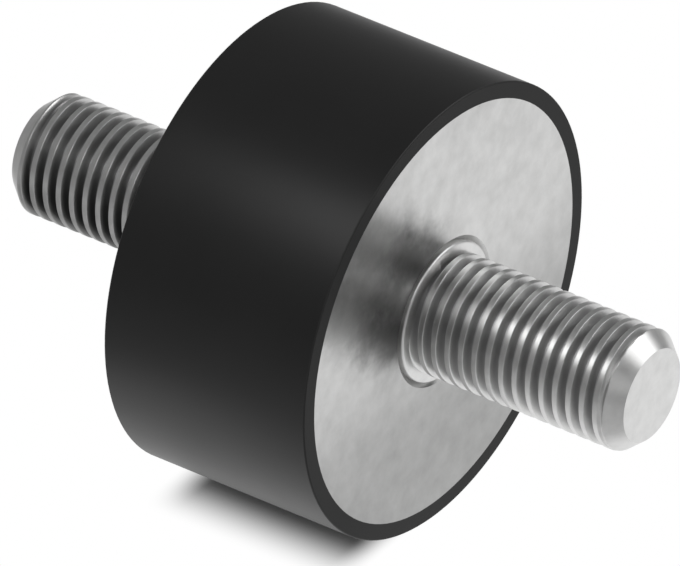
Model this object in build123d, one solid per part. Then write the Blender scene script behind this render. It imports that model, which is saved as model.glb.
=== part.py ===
from build123d import *
import os

# Cylindrical rubber buffer with a threaded stud on each end.
# Millimetres. The axis is X, the origin is the middle of the rubber body,
# the front stud points along +X and the rear stud along -X.
# Front and rear are the same, so every metal piece is turned once and mirrored.

# Rubber body
body_diameter = 30.0
body_length = 15.0
rim_width = 1.11
rim_edge_chamfer = 0.08

# End plates, set flush in the ends of the rubber
plate_thickness = 2.0
hole_edge_chamfer = 0.35

# Studs: a flat head behind the plate, a collar in the plate's hole, then the shank
stud_diameter = 8.0
stud_length = 15.5
tip_chamfer_length = 1.05
tip_chamfer_depth = 0.92
collar_step = 0.65
collar_stand = 0.15
collar_edge_radius = 0.15
head_overlap = 1.9
head_thickness = 2.2
head_edge_chamfer = 0.4

# Radii of the pieces, each from the one that it fits
body_radius = body_diameter / 2
plate_radius = body_radius - rim_width
stud_radius = stud_diameter / 2
tip_radius = stud_radius - tip_chamfer_depth
collar_radius = stud_radius + collar_step
hole_mouth_radius = collar_radius + hole_edge_chamfer
head_radius = collar_radius + head_overlap
head_back_radius = head_radius - head_edge_chamfer

# Stations along the axis, from the middle outwards
face_x = body_length / 2
collar_end_x = face_x + collar_stand
hole_edge_x = face_x - hole_edge_chamfer
plate_back_x = face_x - plate_thickness
head_back_x = plate_back_x - head_thickness
head_edge_x = head_back_x + head_edge_chamfer
tip_x = face_x + stud_length
tip_chamfer_x = tip_x - tip_chamfer_length


def half_section(*points):
    """Closed face through (x, radius) points, drawn above the X axis to be turned about it."""
    return make_face(Polyline(*points, close=True))


def rubber_body():
    """Moulded cylinder with a stepped seat in each end for the plate and the stud's head."""
    front = half_section(
        (0, 0),
        (head_back_x, 0),
        (head_back_x, head_back_radius),
        (head_edge_x, head_radius),
        (plate_back_x, head_radius),
        (plate_back_x, plate_radius),
        (face_x, plate_radius),
        (face_x, body_radius),
        (0, body_radius),
    )
    rim_corner = front.vertices().sort_by_distance((face_x, body_radius, 0))[0]
    front = chamfer(rim_corner, rim_edge_chamfer)
    whole = front + mirror(front, about=Plane.YZ)
    return revolve(whole, axis=Axis.X)


def front_plate():
    """Flat steel disc whose hole holds the stud's collar and is chamfered at its mouth."""
    section = half_section(
        (plate_back_x, collar_radius),
        (hole_edge_x, collar_radius),
        (face_x, hole_mouth_radius),
        (face_x, plate_radius),
        (plate_back_x, plate_radius),
    )
    return revolve(section, axis=Axis.X)


def front_stud():
    """Headed stud: its collar fills the plate's hole and ends in a low ring with a rounded edge."""
    section = half_section(
        (head_back_x, 0),
        (head_back_x, head_back_radius),
        (head_edge_x, head_radius),
        (plate_back_x, head_radius),
        (plate_back_x, collar_radius),
        (collar_end_x, collar_radius),
        (collar_end_x, stud_radius),
        (tip_chamfer_x, stud_radius),
        (tip_x, tip_radius),
        (tip_x, 0),
    )
    collar_corner = section.vertices().sort_by_distance((collar_end_x, collar_radius, 0))[0]
    section = fillet(collar_corner, collar_edge_radius)
    return revolve(section, axis=Axis.X)


pieces = {
    "rubber_body": rubber_body(),
    "front_plate": front_plate(),
    "front_stud": front_stud(),
}
pieces["rear_plate"] = mirror(pieces["front_plate"], about=Plane.YZ)
pieces["rear_stud"] = mirror(pieces["front_stud"], about=Plane.YZ)

os.makedirs("parts", exist_ok=True)
for name, piece in pieces.items():
    export_step(piece, f"parts/{name}.step")
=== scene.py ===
# %% [markdown]
# # A rubber buffer, dressed for its picture
# A rubber buffer holds a machine on its base and keeps the shaking from passing through. It is a plug of
# black rubber with a steel plate bonded in each end and a threaded stud standing out of each plate. The
# solid model already has the right rubber, plates and plain studs, so this lesson adds what a solid model
# leaves out: the screw thread, the finish of each surface, the light and the camera.

# %% Load the solid model as a fixed frame
from math import cos, hypot, pi, radians, sin

import bmesh
import bpy
from mathutils import Matrix, Vector


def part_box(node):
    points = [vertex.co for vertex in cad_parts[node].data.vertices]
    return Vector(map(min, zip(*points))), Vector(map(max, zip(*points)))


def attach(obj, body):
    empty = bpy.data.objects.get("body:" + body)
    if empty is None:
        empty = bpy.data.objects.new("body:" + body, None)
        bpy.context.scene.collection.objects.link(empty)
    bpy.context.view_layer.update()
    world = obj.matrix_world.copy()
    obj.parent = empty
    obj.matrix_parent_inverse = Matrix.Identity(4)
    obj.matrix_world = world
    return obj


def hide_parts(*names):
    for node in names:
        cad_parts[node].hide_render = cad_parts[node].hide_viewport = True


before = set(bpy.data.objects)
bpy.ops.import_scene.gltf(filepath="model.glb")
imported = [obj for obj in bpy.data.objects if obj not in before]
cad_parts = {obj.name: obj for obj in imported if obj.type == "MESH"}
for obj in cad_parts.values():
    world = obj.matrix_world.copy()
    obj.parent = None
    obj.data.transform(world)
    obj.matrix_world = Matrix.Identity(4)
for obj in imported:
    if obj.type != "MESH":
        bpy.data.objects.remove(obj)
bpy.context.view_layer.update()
scene = bpy.context.scene
scene.view_settings.view_transform = "Standard"
MM = 0.001
print("pieces of the solid model:", ", ".join(sorted(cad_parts)))

# %% [markdown]
# ## The camera
# The picture was taken from far away with a long lens: the near stud and the far stud are drawn at almost
# the same scale. A camera that is turned by hand takes many tries, so this one is placed by two angles, the
# way a photographer would say it: so far round to the right, so far up. Its lens is so long that lines
# which are parallel on the buffer stay very nearly parallel in the picture.

# %% Place the camera by two angles
turn_round = radians(35.05)
raised = radians(35.27)
picture_width = 41.914 * MM
lens_length = 1300.0
sensor_width = 36.0
aim_right = -0.263 * MM
aim_up = -0.739 * MM
clip_ratio = 10

towards_camera = Vector((sin(turn_round) * cos(raised), -cos(turn_round) * cos(raised), sin(raised)))
camera_turn = towards_camera.to_track_quat("Z", "Y")
aim = camera_turn @ Vector((aim_right, aim_up, 0.0))
camera_distance = picture_width * lens_length / sensor_width
camera_data = bpy.data.cameras.new("camera")
camera_data.sensor_width = sensor_width
camera_data.lens = lens_length
camera_data.clip_start = camera_distance / clip_ratio
camera_data.clip_end = camera_distance * clip_ratio
camera = bpy.data.objects.new("camera", camera_data)
camera.rotation_mode = "QUATERNION"
camera.rotation_quaternion = camera_turn
camera.location = aim + towards_camera * camera_distance
scene.collection.objects.link(camera)
scene.camera = camera
print("camera stands", round(camera_distance, 3), "m away")

# %% [markdown]
# ## A way to write materials
# A finish is a small network of nodes. Placing each node and link by hand hides the idea behind the
# bookkeeping, so one small class wraps a node's output and lets Python's own signs do the joining:
# `0.4 + 0.1 * cloud` adds two Math nodes and links them. Every other node comes from one method, and the
# few kinds of node that come back in each finish have a function with a plain name.

# %% The class that wraps an output of a node
class Wire:
    """One output of a node. Arithmetic on it adds Math nodes to the same material."""

    def __init__(self, socket):
        self.socket = socket

    @staticmethod
    def node(tree, kind, settings=None, inputs=None, output=0):
        """Adds a node: its settings first, then the values or wires of its inputs."""
        node = tree.nodes.new(kind)
        for name, value in (settings or {}).items():
            setattr(node, name, value)
        for name, value in (inputs or {}).items():
            if isinstance(value, Wire):
                tree.links.new(value.socket, node.inputs[name])
            else:
                node.inputs[name].default_value = value
        return Wire(node.outputs[output])

    def maths(self, operation, *values):
        """The result of one Math node on the given values."""
        inputs = dict(enumerate(values))
        return Wire.node(self.socket.id_data, "ShaderNodeMath", {"operation": operation}, inputs)

    def __add__(self, other):
        return self.maths("ADD", self, other)

    def __radd__(self, other):
        return self.maths("ADD", other, self)

    def __sub__(self, other):
        return self.maths("SUBTRACT", self, other)

    def __rsub__(self, other):
        return self.maths("SUBTRACT", other, self)

    def __mul__(self, other):
        return self.maths("MULTIPLY", self, other)

    def __rmul__(self, other):
        return self.maths("MULTIPLY", other, self)

    def __abs__(self):
        return self.maths("ABSOLUTE", self)

    def __or__(self, other):
        """Where either of two masks is on."""
        return self.maths("MAXIMUM", self, other)


# %% Where a point lies on its piece
def object_coordinates(tree):
    """Positions in metres on the piece itself, so a pattern keeps its real size and never slides."""
    return Wire.node(tree, "ShaderNodeTexCoord", output="Object")


def along_axis(tree, position, axis):
    """How far each point lies along the X, Y or Z axis."""
    return Wire.node(tree, "ShaderNodeSeparateXYZ", {}, {"Vector": position}, output=axis)


def along_direction(tree, position, direction):
    """How far each point lies in a direction whose length is 1."""
    inputs = {0: position, 1: direction}
    return Wire.node(tree, "ShaderNodeVectorMath", {"operation": "DOT_PRODUCT"}, inputs, output="Value")


def off_x_axis(tree, position):
    """How far each point lies from the X axis, which is the axis of the whole buffer."""
    without_x = {0: position, 1: (0.0, 1.0, 1.0)}
    flat = Wire.node(tree, "ShaderNodeVectorMath", {"operation": "MULTIPLY"}, without_x)
    return Wire.node(tree, "ShaderNodeVectorMath", {"operation": "LENGTH"}, {0: flat}, output="Value")


# %% Patterns and masks
def noise(tree, position, grain_size, detail=2.0, roughness=0.5):
    """Cloudy noise from 0 to 1 whose largest lumps are about grain_size metres across."""
    return Wire.node(tree, "ShaderNodeTexNoise", {}, {
        "Vector": position,
        "Scale": 1 / grain_size,
        "Detail": detail,
        "Roughness": roughness,
    })


def ramp(tree, value, low, high, to_low=0.0, to_high=1.0, shape="LINEAR"):
    """Stretches the range from low to high to a new range, and holds the value at its ends."""
    return Wire.node(tree, "ShaderNodeMapRange", {"interpolation_type": shape}, {
        "Value": value,
        "From Min": low,
        "From Max": high,
        "To Min": to_low,
        "To Max": to_high,
    })


def soft_ramp(tree, value, low, high, to_low=0.0, to_high=1.0):
    """A ramp that starts and ends gently, for an edge that nobody should see."""
    return ramp(tree, value, low, high, to_low, to_high, shape="SMOOTHSTEP")


# %% Colours, relief and the finished material
def blend(tree, share, first, second):
    """The first colour where share is 0, the second where it is 1, and a mixture in between."""
    inputs = {"Factor": share, "A": first, "B": second}
    return Wire.node(tree, "ShaderNodeMix", {"data_type": "RGBA"}, inputs, output="Result")


def darken(tree, colour, share_left):
    """A colour of which only a share is left."""
    inputs = {0: colour, "Scale": share_left}
    return Wire.node(tree, "ShaderNodeVectorMath", {"operation": "SCALE"}, inputs)


def fine_relief(tree, height, strength, depth):
    """Lumps too small to be modelled, at most depth metres high, which only the shading shows."""
    inputs = {"Strength": strength, "Distance": depth, "Height": height}
    return Wire.node(tree, "ShaderNodeBump", {}, inputs)


def new_material(name):
    """An empty node material and the tree that its nodes go into."""
    material = bpy.data.materials.new(name)
    material.use_nodes = True
    material.node_tree.nodes.clear()
    return material, material.node_tree


def finish_material(material, shader):
    """Joins the last shader to the material's output."""
    tree = material.node_tree
    output = tree.nodes.new("ShaderNodeOutputMaterial")
    tree.links.new(shader.socket, output.inputs["Surface"])
    print(material.name, "is made of", len(tree.nodes), "nodes")


# %% [markdown]
# ## The floor
# The buffer lies on a sheet of white paper. A floor that is only lit never comes out as white as paper in a
# catalogue picture, and more light would wash out the buffer, so the paper glows where the camera, or a
# mirror on the buffer, looks at it. The glow fades out softly in two places, and the light and shadow there
# are real: in the strip next to the line where the rubber touches the paper, and farther out, where the
# paper goes over into the dim room. The steel needs that dim edge: thread flanks mirror it, and look dark.

# %% Lay the paper under the buffer
floor_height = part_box("rubber_body")[0].z
floor_reach = 250 * MM
floor_sides = 96

floor_mesh = bpy.data.meshes.new("paper_floor")
floor_shape = bmesh.new()
bmesh.ops.create_circle(floor_shape, cap_ends=True, segments=floor_sides, radius=floor_reach)
bmesh.ops.translate(floor_shape, verts=floor_shape.verts, vec=(0.0, 0.0, floor_height))
floor_shape.to_mesh(floor_mesh)
floor_shape.free()
floor = bpy.data.objects.new("paper_floor", floor_mesh)
scene.collection.objects.link(floor)
print("paper lies at", round(floor_height / MM, 2), "mm")

# %% Mark the strip of real shadow where the rubber touches the paper
strip_front = (-10.6 * MM, -5.75 * MM)
strip_back = (6.0 * MM, 3.2 * MM)
strip_left = (-8.4 * MM, -5.8 * MM)
strip_right = (7.2 * MM, 4.9 * MM)

paper, tree = new_material("white paper")
position = object_coordinates(tree)
along = along_axis(tree, position, "X")
across = along_axis(tree, position, "Y")
in_strip_depth = soft_ramp(tree, across, *strip_front) * soft_ramp(tree, across, *strip_back)
in_strip_width = soft_ramp(tree, along, *strip_left) * soft_ramp(tree, along, *strip_right)
off_strip = 1 - in_strip_depth * in_strip_width
print("the strip is full from", round(strip_front[1] / MM, 2), "to", round(strip_back[1] / MM, 2), "mm")

# %% Mark the pool of white round the buffer, in line with the picture's edges
pool_left = (-37 * MM, -22 * MM)
pool_right = (110 * MM, 50 * MM)
pool_front = (-28 * MM, -11 * MM)
pool_back = (130 * MM, 60 * MM)

rightwards = cos(turn_round) * along + sin(turn_round) * across
backwards = cos(turn_round) * across - sin(turn_round) * along
in_pool_width = soft_ramp(tree, rightwards, *pool_left) * soft_ramp(tree, rightwards, *pool_right)
in_pool_depth = soft_ramp(tree, backwards, *pool_front) * soft_ramp(tree, backwards, *pool_back)
print("the pool starts", round(-pool_left[0] / MM), "mm to the left of the buffer's middle")

# %% Let the paper glow in the pool, but only where it is looked at
paper_colour = (0.92, 0.92, 0.92, 1.0)
glow_level = 1.0

camera_looks = Wire.node(tree, "ShaderNodeLightPath", output="Is Camera Ray")
mirror_looks = Wire.node(tree, "ShaderNodeLightPath", output="Is Glossy Ray")
glass_looks = Wire.node(tree, "ShaderNodeLightPath", output="Is Transmission Ray")
looked_at = camera_looks | mirror_looks | glass_looks
glow_share = looked_at * off_strip * in_pool_width * in_pool_depth
plain = Wire.node(tree, "ShaderNodeBsdfDiffuse", {}, {"Color": paper_colour})
glow = Wire.node(tree, "ShaderNodeEmission", {}, {"Strength": glow_level})
finish_material(paper, Wire.node(tree, "ShaderNodeMixShader", {}, {"Fac": glow_share, 1: plain, 2: glow}))
floor_mesh.materials.append(paper)

# %% Make the room dim
room_level = 0.3
world = bpy.data.worlds.new("dim room")
world.use_nodes = True
world.node_tree.nodes.clear()
room = Wire.node(world.node_tree, "ShaderNodeBackground", {}, {"Strength": room_level})
world_output = world.node_tree.nodes.new("ShaderNodeOutputWorld")
world.node_tree.links.new(room.socket, world_output.inputs["Surface"])
scene.world = world
print("the room is at a level of", room_level)

# %% [markdown]
# ## The lamps
# Studio lamps have white cloth boxes in front of them, so their light is soft and their reflection on metal
# is a wide pale patch. The brightness of the cloth is what a reflection shows, so each lamp is described by
# that, by its size and by where it hangs. Smooth black rubber and bright steel show little else than
# reflections, so every lamp is hung where one of them looks, and four are enough.

# %% A function that hangs a soft lamp
def hang_lamp(name, place, faces, size, brightness):
    """A flat soft lamp at a place in metres that faces along a direction. Its size is width and height."""
    width, height = size
    data = bpy.data.lights.new(name, "AREA")
    data.shape = "RECTANGLE"
    data.size = width
    data.size_y = height
    data.energy = brightness * pi * width * height
    lamp = bpy.data.objects.new(name, data)
    lamp.location = place
    lamp.rotation_mode = "QUATERNION"
    lamp.rotation_quaternion = (-faces).to_track_quat("Z", "Y")
    lamp.visible_camera = False
    scene.collection.objects.link(lamp)
    print(name, "gives", round(data.energy, 4), "W")


# %% [markdown]
# The first lamp is large and stands far off behind the buffer on the right. It draws the white patch on the
# chamfer of the front tip and lights the upper side of both threads. The second is small and hangs close
# above the front. It sets a row of glints on the front thread and a shine on the rubber. Farther back on
# the rubber a reflection looks past this lamp's edge, so the shine is strong next to the front plate and
# fades towards the back.

# %% Hang the large lamp behind and the small one above the front
far_lamp_distance = 0.6
downwards = Vector((0.0, 0.0, -1.0))

back_lamp_place = far_lamp_distance * Vector((0.66, 0.54, 0.52))
back_lamp_size = (0.5, 0.3)
back_lamp_brightness = 2.2
hang_lamp("lamp_behind_right", back_lamp_place, -back_lamp_place, back_lamp_size, back_lamp_brightness)

front_lamp_place = Vector((-6.5 * MM, -32 * MM, 45 * MM))
front_lamp_size = (19 * MM, 24 * MM)
front_lamp_brightness = 3.0
hang_lamp("lamp_above_front", front_lamp_place, downwards, front_lamp_size, front_lamp_brightness)

# %% [markdown]
# The third lamp hangs above the right. It brightens the upper turns of the front thread and the mirror
# image of the stud in the plate. The fourth is weak and stands on the right. The near side of the front
# tip's chamfer mirrors it, and would be darker without it.

# %% Hang the two lamps on the right
plate_lamp_place = Vector((51 * MM, -49 * MM, 75 * MM))
plate_lamp_size = (18 * MM, 56 * MM)
plate_lamp_brightness = 3.5
hang_lamp("lamp_above_right", plate_lamp_place, downwards, plate_lamp_size, plate_lamp_brightness)

right_lamp_place = far_lamp_distance * Vector((0.814, -0.47, 0.342))
right_lamp_size = (0.3, 0.25)
right_lamp_brightness = 0.4
hang_lamp("lamp_right", right_lamp_place, -right_lamp_place, right_lamp_size, right_lamp_brightness)

# %% [markdown]
# ## The threaded studs
# A screw thread is one groove that winds round the stud. It could be faked with a bump, but a bump leaves
# the edge of the stud straight, and the saw-tooth edge is the first thing that says "screw". So the real
# shape is made the way a lathe makes it: one tooth is drawn as a short line and spun round the axis while
# it moves along, so each turn ends where the next begins. The shape is made in millimetres and shrunk to
# metres at the end, because Blender's tools join and cut more safely at that size.

# %% Read the main stations of stud and plate from the solid model
def in_mm(length):
    """A length of the solid model in millimetres, without the dust in its last digits."""
    return round(length / MM, 3)


plate_low, plate_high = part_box("front_plate")
stud_low, stud_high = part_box("front_stud")
face_x = in_mm(plate_high.x)
plate_back_x = in_mm(plate_low.x)
stud_end_x = in_mm(stud_high.x)
head_back_x = in_mm(stud_low.x)
head_radius = in_mm(stud_high.y)
print("plate from", plate_back_x, "to", face_x, "mm, stud from", head_back_x, "to", stud_end_x, "mm")

# %% Sizes of the thread
pitch = 1.0
crest_radius = 4.0
thread_depth = 0.67
crest_flat = 0.36
root_flat = 0.2
corner_rounding = 0.025
steps_in_a_turn = 96
rounding_steps = 3
flank_cuts = 6
flat_cuts = 3
weld_reach = 0.002

root_radius = crest_radius - thread_depth
flank_length = (pitch - crest_flat - root_flat) / 2
print("each flank drops", thread_depth, "mm over", round(flank_length, 3), "mm")


# %% Draw one tooth of the thread and wind it round
def tooth_line(start_x):
    """A line with rounded corners from the middle of one crest over the groove to the next crest."""
    shape = bmesh.new()
    stations = (
        (0.0, crest_radius),
        (crest_flat / 2, crest_radius),
        (crest_flat / 2 + flank_length, root_radius),
        (crest_flat / 2 + flank_length + root_flat, root_radius),
        (pitch - crest_flat / 2, crest_radius),
        (pitch, crest_radius),
    )
    points = [shape.verts.new((start_x + x, radius, 0.0)) for x, radius in stations]
    for left, right in zip(points, points[1:]):
        shape.edges.new((left, right))
    bmesh.ops.bevel(shape, geom=points[1:-1], offset=corner_rounding, offset_type="OFFSET",
                    segments=rounding_steps, profile=0.5, affect="VERTICES", material=-1)
    flanks = [e for e in shape.edges if abs(e.verts[0].co.y - e.verts[1].co.y) > thread_depth / 2]
    flats = [e for e in shape.edges if e.calc_length() > root_flat / 2 and e not in flanks]
    bmesh.ops.subdivide_edges(shape, edges=flanks, cuts=flank_cuts)
    bmesh.ops.subdivide_edges(shape, edges=flats, cuts=flat_cuts)
    return shape


def wind_thread(start_x, turns):
    """A tube of thread that starts at start_x and winds to the right for the given turns."""
    shape = tooth_line(start_x)
    step = (pitch / steps_in_a_turn, 0, 0)
    bmesh.ops.spin(shape, geom=shape.verts[:] + shape.edges[:], cent=(0, 0, 0), axis=(1, 0, 0), dvec=step,
                   angle=2 * pi, steps=steps_in_a_turn, use_merge=False)
    first_turn = shape.verts[:] + shape.edges[:] + shape.faces[:]
    for turn in range(1, turns):
        copy = bmesh.ops.duplicate(shape, geom=first_turn)["geom"]
        copied_points = [v for v in copy if isinstance(v, bmesh.types.BMVert)]
        bmesh.ops.translate(shape, verts=copied_points, vec=(turn * pitch, 0, 0))
    bmesh.ops.remove_doubles(shape, verts=shape.verts, dist=weld_reach)
    return shape


# %% [markdown]
# The groove doesn't reach the tip. It gets shallower over its last turn until it is gone, and the tip is a
# plain cone. Moving the thread's own points in towards the finished radius does both at once and leaves the
# mesh whole. Then the tube is cut square at both ends, the tip is closed, and the other end is carried on
# as the collar that fills the plate's hole and the head behind the plate, so each stud is one closed mesh.

# %% Bring the thread's points to their finished radius
tip_chamfer_length = 1.05
tip_chamfer_depth = 0.92
plain_tip_length = 0.8
run_out_length = 1.0

tip_radius = crest_radius - tip_chamfer_depth
tip_chamfer_x = stud_end_x - tip_chamfer_length
run_out_end = stud_end_x - plain_tip_length
run_out_start = run_out_end - run_out_length
print("the groove runs out from", run_out_start, "to", run_out_end, "mm")


def finished_radius(x, radius):
    """The radius that a point of the thread ends up with: the groove runs out and the tip is a cone."""
    out = min(1.0, max(0.0, (x - run_out_start) / (run_out_end - run_out_start)))
    groove_left = 1 - out * out * (3 - 2 * out)
    into_tip = max(0.0, (x - tip_chamfer_x) / tip_chamfer_length)
    cone_radius = crest_radius - (crest_radius - tip_radius) * into_tip
    return min(crest_radius - (crest_radius - radius) * groove_left, cone_radius)


def taper(shape):
    """Runs the groove out and makes the tip a cone."""
    for point in shape.verts:
        radius = hypot(point.co.y, point.co.z)
        size = finished_radius(point.co.x, radius) / radius
        point.co.y *= size
        point.co.z *= size


# %% Cut the tube and carry its open end on
cut_tolerance = 1e-5
on_cut = 1e-3


def cut_end(shape, x, outward):
    """Cuts the tube square at x and returns the edges of the open end."""
    bmesh.ops.bisect_plane(shape, geom=shape.verts[:] + shape.edges[:] + shape.faces[:], dist=cut_tolerance,
                           plane_co=(x, 0, 0), plane_no=(outward, 0, 0), clear_outer=True)
    return [e for e in shape.edges if e.is_boundary and all(abs(v.co.x - x) < on_cut for v in e.verts)]


def carry_on(shape, ring, x, radius):
    """Extrudes an open ring to a new station along the axis and a new radius."""
    made = bmesh.ops.extrude_edge_only(shape, edges=ring)["geom"]
    for corner in (v for v in made if isinstance(v, bmesh.types.BMVert)):
        size = radius / hypot(corner.co.y, corner.co.z)
        corner.co = (x, corner.co.y * size, corner.co.z * size)
    return [e for e in made if isinstance(e, bmesh.types.BMEdge)]


# %% Add the collar and the head
collar_radius = 4.65
collar_stand = 0.15
collar_edge_radius = 0.15
collar_edge_steps = 4
head_edge_chamfer = 0.4

collar_end_x = face_x + collar_stand
head_edge_x = head_back_x + head_edge_chamfer
head_back_radius = head_radius - head_edge_chamfer
print("the collar stands", collar_stand, "mm out of the plate")


def add_collar_and_head(shape):
    """Rounds the collar's edge, then follows the collar and the head to the head's closed back."""
    ring = cut_end(shape, collar_end_x, -1)
    for step in range(collar_edge_steps + 1):
        turned = pi / 2 * step / collar_edge_steps
        x = collar_end_x - collar_edge_radius * (1 - cos(turned))
        radius = collar_radius - collar_edge_radius * (1 - sin(turned))
        ring = carry_on(shape, ring, x, radius)
    for x, radius in (
        (plate_back_x, collar_radius),
        (plate_back_x, head_radius),
        (head_edge_x, head_radius),
        (head_back_x, head_back_radius),
    ):
        ring = carry_on(shape, ring, x, radius)
    bmesh.ops.edgeloop_fill(shape, edges=ring)


# %% Put one whole stud together
turns_below_face = 2
spare_turns = 4
sharp_angle = radians(32)


def shade(shape):
    """Smooths the shading, except over edges that are sharp on the real stud."""
    for face in shape.faces:
        face.smooth = True
    for edge in shape.edges:
        if len(edge.link_faces) == 2 and edge.calc_face_angle() > sharp_angle:
            edge.smooth = False


def threaded_stud(name, crest_x, faces_back):
    """One whole stud in one closed mesh. A crest crosses its +Y side at crest_x, before it is turned."""
    turns = int((stud_end_x - face_x) / pitch) + spare_turns
    start_x = face_x - turns_below_face * pitch + (crest_x - face_x) % pitch
    shape = wind_thread(start_x, turns)
    taper(shape)
    bmesh.ops.edgeloop_fill(shape, edges=cut_end(shape, stud_end_x, 1))
    add_collar_and_head(shape)
    if faces_back:
        bmesh.ops.rotate(shape, verts=shape.verts, cent=(0, 0, 0), matrix=Matrix.Rotation(pi, 3, "Z"))
    bmesh.ops.scale(shape, verts=shape.verts, vec=(MM, MM, MM))
    bmesh.ops.recalc_face_normals(shape, faces=shape.faces)
    shade(shape)
    open_edges = sum(1 for e in shape.edges if not e.is_manifold)
    mesh = bpy.data.meshes.new(name)
    shape.to_mesh(mesh)
    shape.free()
    stud = bpy.data.objects.new(name, mesh)
    scene.collection.objects.link(stud)
    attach(stud, "root")
    print(name, len(mesh.polygons), "faces,", open_edges, "open edges")
    return stud


# %% [markdown]
# A thread can start anywhere round the stud, so one crest of each stud is set to its place: on the front
# stud by its gap from the plate, and on the rear stud, whose root is hidden, by its distance from the tip's
# end. Both are measured on the side that lies a little more than an eighth of a turn from the top towards
# the front. The thread is wound from the +Y side, up over the top and on, so on the front stud the measured
# side comes after the top. The rear stud is made as a front stud and turned round, and on it that side
# comes before the top.

# %% Make both studs and put them in the place of the plain ones
crest_side = 49.2 / 360
quarter_turn = 0.25
front_crest_from_plate = 0.86
rear_crest_from_tip = 4.05

front_crest_x = face_x + front_crest_from_plate - pitch * (quarter_turn + crest_side)
rear_crest_x = stud_end_x - rear_crest_from_tip - pitch * (quarter_turn - crest_side)
front_thread = threaded_stud("front_stud_threaded", front_crest_x, faces_back=False)
rear_thread = threaded_stud("rear_stud_threaded", rear_crest_x, faces_back=True)
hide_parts("front_stud")
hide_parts("rear_stud")

# %% [markdown]
# ## The zinc on the studs
# The studs are steel with a thin layer of zinc, which mirrors the room a little blurred. A mirror needs
# little more than a light colour, full metal and some roughness. Faint clouds come from noise at their real
# size, and the grooves get painted shade, a slightly darker colour than the crests. A point's distance from
# the axis tells groove from crest, so no picture has to be laid round the stud.

# %% Mix the clouds and paint shade into the grooves
stud_cloud_size = 0.9 * MM
stud_zinc_dark = (0.58, 0.58, 0.575, 1.0)
stud_zinc_light = (0.82, 0.82, 0.815, 1.0)
# Painted shade: the grooves get a darker colour than the crests, where shade falls between the teeth.
groove_shade_colour = (0.56, 0.56, 0.56, 1.0)
groove_shade_edge = 3.92 * MM
groove_shade_inside = 3.6 * MM
tip_edge = (22.0 * MM, 21.8 * MM)

stud_zinc, tree = new_material("zinc on the studs")
position = object_coordinates(tree)
along = along_axis(tree, position, "X")
cloud = noise(tree, position, stud_cloud_size, detail=3.0)
from_axis = off_x_axis(tree, position)
on_shank = ramp(tree, abs(along), *tip_edge)
in_groove_shade = soft_ramp(tree, from_axis, groove_shade_edge, groove_shade_inside) * on_shank
tint = blend(tree, in_groove_shade, blend(tree, cloud, stud_zinc_dark, stud_zinc_light), groove_shade_colour)
print("clouds of", round(stud_cloud_size / MM, 2), "mm on the studs")

# %% [markdown]
# The rear stud looks darker than the front one. That darkness is painted shade on its grooves and on its
# underside, where the stud mirrors the shadow of the buffer. The room around it may do a part of that, but
# one picture can't tell, so all of it is given to the film, as a guess. The painted shade is made of two
# masks: one for the grooves, stronger below than above, and one for everything low down.

# %% Paint shade on the rear stud's grooves and underside
rear_shank = (-7 * MM, -8 * MM)
rear_shade_edge = 3.99 * MM
rear_shade_inside = 3.75 * MM
rear_shade_heights = (2.5 * MM, 0.5 * MM)
rear_shade_above = 0.15
rear_shade_below = 0.5
underside_shade_heights = (0.8 * MM, -1.2 * MM)
underside_shade_share = 0.65

# Painted shade on the rear stud: darker in the grooves, more so below, and darker on the underside.
height = along_axis(tree, position, "Z")
on_rear = ramp(tree, along, *rear_shank) * on_shank
rear_shade_strength = ramp(tree, height, *rear_shade_heights, rear_shade_above, rear_shade_below)
painted_rear_groove_shade = ramp(tree, from_axis, rear_shade_edge, rear_shade_inside) * rear_shade_strength * on_rear
painted_underside_shade = underside_shade_share * ramp(tree, height, *underside_shade_heights) * on_rear
tint = darken(tree, tint, (1 - painted_rear_groove_shade) * (1 - painted_underside_shade))
print("oil takes", underside_shade_share, "of the brightness on the underside")

# %% Give the studs their gloss and a fine grain
stud_grain_size = 0.12 * MM
stud_grain_depth = 0.004 * MM
stud_grain_strength = 0.1
stud_roughness = 0.3
stud_cloud_roughness = 0.08

grain = noise(tree, position, stud_grain_size)
finish_material(stud_zinc, Wire.node(tree, "ShaderNodeBsdfPrincipled", {}, {
    "Base Color": tint,
    "Metallic": 1.0,
    "Roughness": stud_roughness + stud_cloud_roughness * cloud,
    "Normal": fine_relief(tree, grain, stud_grain_strength, stud_grain_depth),
}))
for stud in (front_thread, rear_thread):
    stud.data.materials.append(stud_zinc)

# %% [markdown]
# ## The zinc on the plates
# The plates have the same layer of zinc, but on a flat face its clouds are plain to see, because the layer
# grew unevenly. The plates are also painted darker towards the bottom: painted shade for the shadowed floor
# that their lower half mirrors. The front plate gets two patches of painted shade beside the stud, which
# deepen the stud's dark reflection in it. How much of that is oil and how much is a reflection of the room,
# one picture can't tell, so here all of it is a guess that is painted on the steel. The patches are made
# from the distance to two lines that run outwards from the stud, and noise is added to that distance, so
# that the edges come out ragged and not ruled.

# %% Mix the clouds of the plates and paint shade on their lower half
plate_cloud_size = 1.4 * MM
plate_zinc_dark = (0.46, 0.46, 0.455, 1.0)
plate_zinc_light = (0.75, 0.75, 0.745, 1.0)
# Painted shade: the plates are darker towards the bottom.
bottom_shade_heights = (-9 * MM, 4.5 * MM)
bottom_shade_share = 0.6

plate_zinc, tree = new_material("zinc on the plates")
position = object_coordinates(tree)
cloud = noise(tree, position, plate_cloud_size, detail=4.0, roughness=0.6)
tint = blend(tree, cloud, plate_zinc_dark, plate_zinc_light)
height = along_axis(tree, position, "Z")
left_by_bottom_shade = soft_ramp(tree, height, *bottom_shade_heights, bottom_shade_share, 1.0)
print("the plates keep", bottom_shade_share, "of their brightness at the bottom")

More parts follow.
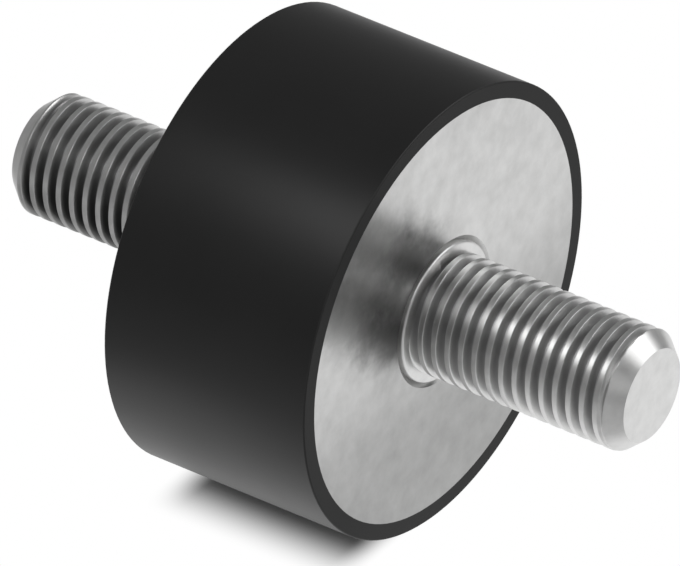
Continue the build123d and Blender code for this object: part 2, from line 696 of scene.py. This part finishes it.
# %% Paint two patches of shade beside the front stud
shade_patch_turn = radians(49.2)
shade_patch_outwards = (0.0, -sin(shade_patch_turn), cos(shade_patch_turn))
shade_patch_sideways = (0.0, cos(shade_patch_turn), sin(shade_patch_turn))
shade_patches_shift = 0.2 * MM
shade_patch_off_middle = 2.6 * MM
shade_patch_edge = 3.4 * MM
shade_patch_core = 0.3 * MM
shade_patch_length = (11 * MM, 7 * MM)
shade_patch_faint = 0.38
shade_patch_full = 0.72
shade_patch_start = (2 * MM, 4 * MM)
front_half = (0.0, 1 * MM)
ragged_size = 1.6 * MM
ragged_reach = 2.5 * MM
noise_middle = 0.5

# Painted shade: two dark patches beside the stud, which deepen its dark reflection in the plate.
outwards = along_direction(tree, position, shade_patch_outwards)
sideways = along_direction(tree, position, shade_patch_sideways)
ragged = ragged_reach * (noise(tree, position, ragged_size, detail=3.0, roughness=0.6) - noise_middle)
off_shade_patch = abs(abs(sideways + shade_patches_shift) - shade_patch_off_middle)
on_shade_patch = soft_ramp(tree, off_shade_patch + ragged, shade_patch_edge, shade_patch_core)
strength = soft_ramp(tree, outwards + ragged, *shade_patch_length, shade_patch_faint, shade_patch_full)
one_side = ramp(tree, outwards, *shade_patch_start)
on_front = ramp(tree, along_axis(tree, position, "X"), *front_half)
unshaded = 1 - on_shade_patch * strength * one_side * on_front
tint = darken(tree, tint, left_by_bottom_shade * unshaded)
print("two smudges,", round(2 * shade_patch_off_middle / MM, 2), "mm from one to the other")

# %% Give the plates their gloss
plate_relief_strength = 0.2
plate_relief_depth = 0.01 * MM
plate_roughness = 0.26
plate_cloud_roughness = 0.08


def dress(node, material):
    """Gives a piece of the solid model another material."""
    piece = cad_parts[node]
    piece.data.materials.clear()
    piece.data.materials.append(material)


finish_material(plate_zinc, Wire.node(tree, "ShaderNodeBsdfPrincipled", {}, {
    "Base Color": tint,
    "Metallic": 1.0,
    "Roughness": plate_roughness + plate_cloud_roughness * cloud,
    "Normal": fine_relief(tree, cloud, plate_relief_strength, plate_relief_depth),
}))
for node in ("front_plate", "rear_plate"):
    dress(node, plate_zinc)

# %% [markdown]
# ## The rubber
# The rubber is moulded in a polished steel mould, so it is smooth and has a satin shine, darker than
# anything else in the picture. Black rubber is never quite black: under its shine it gives back about a
# hundredth of the light. Its rims, on the end faces, are duller than the round side. One shader does all
# of it, with noise for the faint bloom and a mask for the end faces.

# %% Finish the rubber
bloom_size = 5 * MM
rubber_dark = (0.0095, 0.0095, 0.0095, 1.0)
rubber_light = (0.0145, 0.0145, 0.0145, 1.0)
rubber_grain_size = 0.15 * MM
rubber_grain_strength = 0.15
rubber_grain_depth = 0.01 * MM
end_face_edge = (7.43 * MM, 7.48 * MM)
side_roughness = 0.36
bloom_roughness = 0.08
end_face_roughness = 0.3
specular_level = 0.42

rubber, tree = new_material("moulded black rubber")
position = object_coordinates(tree)
bloom = noise(tree, position, bloom_size, detail=3.0)
grain = noise(tree, position, rubber_grain_size)
on_end_face = ramp(tree, abs(along_axis(tree, position, "X")), *end_face_edge)
finish_material(rubber, Wire.node(tree, "ShaderNodeBsdfPrincipled", {}, {
    "Base Color": blend(tree, bloom, rubber_dark, rubber_light),
    "Roughness": side_roughness + bloom_roughness * bloom + end_face_roughness * on_end_face,
    "Specular IOR Level": specular_level,
    "Normal": fine_relief(tree, grain, rubber_grain_strength, rubber_grain_depth),
}))
dress("rubber_body", rubber)
